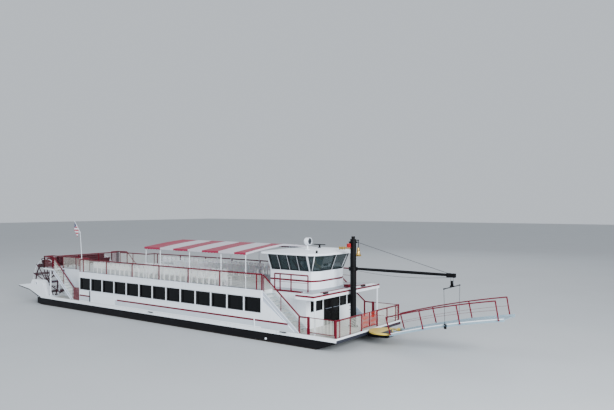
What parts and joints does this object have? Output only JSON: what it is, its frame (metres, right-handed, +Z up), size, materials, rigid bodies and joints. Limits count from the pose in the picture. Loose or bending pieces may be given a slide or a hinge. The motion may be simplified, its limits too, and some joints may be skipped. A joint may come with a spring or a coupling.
{
  "type": "stern-wheel excursion boat, 1:2 scale model",
  "caption": "Stern-wheel excursion boat at half scale, with hinged gates and doors, linked rudders, a turning paddle wheel, an awning, and a mast with boom and swinging landing stage.",
  "frame": {"origin": "on the hull's flat bottom, on the centreline, a little aft of the middle of the cabin", "axes": "+X towards the bow and the landing stage, +Y to port, +Z up"},
  "size_m": [21.975, 4.075, 4.2915],
  "materials": {
    "white_paint": "semi-gloss bluish white paint",
    "hull_black": "black hull paint",
    "rail_red": "gloss red paint",
    "wheel_red": "dark red paint, wet and worn",
    "dark_glass": "dark tinted window glass",
    "mast_black": "black gloss paint",
    "brass": "weathered brass",
    "stage_yellow": "yellow deck paint",
    "stage_grey": "pale blue-grey aluminium",
    "awning_cloth": "striped rose and light grey canvas",
    "flag_cloth": "striped cloth",
    "chair_white": "moulded white plastic",
    "steel_grey": "grey paint",
    "gate_brown": "reddish brown paint"
  },
  "bodies": {
    "boat": {"hull": "hull_black", "main_deck": "white_paint", "head_log": "steel_grey", "stage_bracket": "hull_black", "cabin_side_starboard": "white_paint", "cabin_glass_starboard": "dark_glass", "cabin_side_port": "white_paint", "cabin_glass_port": "dark_glass", "forward_cabin_walls": "white_paint", "stern_house_walls": "white_paint", "engine": "steel_grey", "upper_deck": "white_paint", "upper_rail_starboard": "rail_red", "balcony_rail_starboard": "rail_red", "upper_rail_port": "rail_red", "balcony_rail_port": "rail_red", "upper_rail_stern": "rail_red", "stair_bow_starboard": "white_paint", "stair_stern_starboard": "white_paint", "stair_bow_port": "white_paint", "stair_stern_port": "white_paint", "bow_rail_starboard": "rail_red", "bow_rail_port": "rail_red", "pilot_house_walls": "white_paint", "pilot_house_glass": "dark_glass", "pilot_house_roof": "white_paint", "searchlight": "white_paint", "radar_bar": "mast_black", "mast": "mast_black", "bell": "brass", "horn_cluster": "brass", "wheel_beam_starboard": "white_paint", "wheel_beam_port": "white_paint", "chairs_outer_starboard": "chair_white", "chairs_outer_port": "chair_white", "chairs_inner_starboard": "chair_white", "chairs_inner_port": "chair_white", "awning": "awning_cloth", "awning_frame": "white_paint", "flagstaff": "white_paint", "flag": "flag_cloth"},
    "wheel": {"paddle_wheel": "wheel_red"},
    "rudder_right": {"rudder_starboard": "hull_black"},
    "rudder_left": {"rudder_port": "hull_black"},
    "turntable": {"stage_turntable": "stage_yellow"},
    "stage": {"gangway_deck": "stage_grey", "gangway_rail_starboard": "rail_red", "gangway_rail_port": "rail_red"},
    "bridle": {"gangway_bridle": "mast_black"},
    "hook": {"hook_block": "mast_black"},
    "boom_arm": {"boom": "mast_black"},
    "front_leaf_starboard": {"front_door_starboard": "dark_glass"},
    "front_leaf_port": {"front_door_port": "dark_glass"},
    "side_leaf_starboard": {"side_gate_starboard": "rail_red"},
    "side_leaf_port": {"side_gate_port": "rail_red"},
    "bow_leaf_starboard": {"bow_gate_starboard": "rail_red"},
    "bow_leaf_port": {"bow_gate_port": "rail_red"},
    "stern_leaf_starboard": {"stern_gate_starboard": "gate_brown"},
    "stern_leaf_port": {"stern_gate_port": "gate_brown"},
    "pilot_leaf": {"pilot_door": "white_paint"}
  },
  "joints": [
    {"name": "wheel_turn", "type": "hinge", "parent": "boat", "child": "wheel", "pos_m": [-8.3, 0, 1.45], "axis": [0, 1, 0], "continuous": true},
    {"name": "rudder_starboard_turn", "type": "hinge", "parent": "boat", "child": "rudder_right", "pos_m": [-6.65, -0.775, 0.2], "axis": [0, 0, 1], "range_deg": [-35, 35]},
    {"name": "rudder_port_turn", "type": "hinge", "parent": "boat", "child": "rudder_left", "pos_m": [-6.65, 0.775, 0.2], "axis": [0, 0, 1], "range_deg": [-35, 35]},
    {"name": "stage_swing", "type": "hinge", "parent": "boat", "child": "turntable", "pos_m": [8.285, 0, 0.965], "axis": [0, 0, 1], "range_deg": [-25, 25]},
    {"name": "gangway_pitch", "type": "hinge", "parent": "turntable", "child": "stage", "pos_m": [8.7, 0, 1.04], "axis": [0, -1, 0], "range_deg": [-18, 3]},
    {"name": "bridle_hang", "type": "hinge", "parent": "stage", "child": "bridle", "pos_m": [10.525, 0, 1.445], "axis": [0, -1, 0], "range_deg": [-4, 19]},
    {"name": "boom_swing", "type": "hinge", "parent": "boat", "child": "boom_arm", "pos_m": [7.11, 0, 2.85], "axis": [0, 0, 1], "range_deg": [-17, 17]},
    {"name": "hook_hoist", "type": "slide", "parent": "boom_arm", "child": "hook", "axis": [0, 0, 1], "range_m": [-0.58, 0.1]},
    {"name": "front_door_starboard_swing", "type": "hinge", "parent": "boat", "child": "front_leaf_starboard", "pos_m": [6.27, -0.445, 0.97], "axis": [0, 0, -1], "range_deg": [0, 100]},
    {"name": "front_door_port_swing", "type": "hinge", "parent": "boat", "child": "front_leaf_port", "pos_m": [6.27, 0.445, 0.97], "axis": [0, 0, 1], "range_deg": [0, 100]},
    {"name": "side_gate_starboard_swing", "type": "hinge", "parent": "boat", "child": "side_leaf_starboard", "pos_m": [6.76, -1.935, 0.97], "axis": [0, 0, -1], "range_deg": [0, 90]},
    {"name": "side_gate_port_swing", "type": "hinge", "parent": "boat", "child": "side_leaf_port", "pos_m": [6.76, 1.935, 0.97], "axis": [0, 0, 1], "range_deg": [0, 90]},
    {"name": "bow_gate_starboard_swing", "type": "hinge", "parent": "boat", "child": "bow_leaf_starboard", "pos_m": [7.72, -0.465, 0.97], "axis": [0, 0, 1], "range_deg": [0, 90]},
    {"name": "bow_gate_port_swing", "type": "hinge", "parent": "boat", "child": "bow_leaf_port", "pos_m": [7.72, 0.465, 0.97], "axis": [0, 0, -1], "range_deg": [0, 90]},
    {"name": "stern_gate_starboard_swing", "type": "hinge", "parent": "boat", "child": "stern_leaf_starboard", "pos_m": [-5.08, -1.95, 0.97], "axis": [0, 0, -1], "range_deg": [0, 85]},
    {"name": "stern_gate_port_swing", "type": "hinge", "parent": "boat", "child": "stern_leaf_port", "pos_m": [-5.08, 1.95, 0.97], "axis": [0, 0, 1], "range_deg": [0, 85]},
    {"name": "pilot_door_swing", "type": "hinge", "parent": "boat", "child": "pilot_leaf", "pos_m": [4.38, -0.225, 2.18], "axis": [0, 0, 1], "range_deg": [0, 100]}
  ],
  "couplings": [
    {"joint": "rudder_port_turn", "follows": "rudder_starboard_turn", "ratio": 1},
    {"joint": "bridle_hang", "follows": "gangway_pitch", "ratio": -1},
    {"joint": "hook_hoist", "follows": "gangway_pitch", "m_per_rad": 1.825},
    {"joint": "boom_swing", "follows": "stage_swing", "ratio": 0.65}
  ]
}
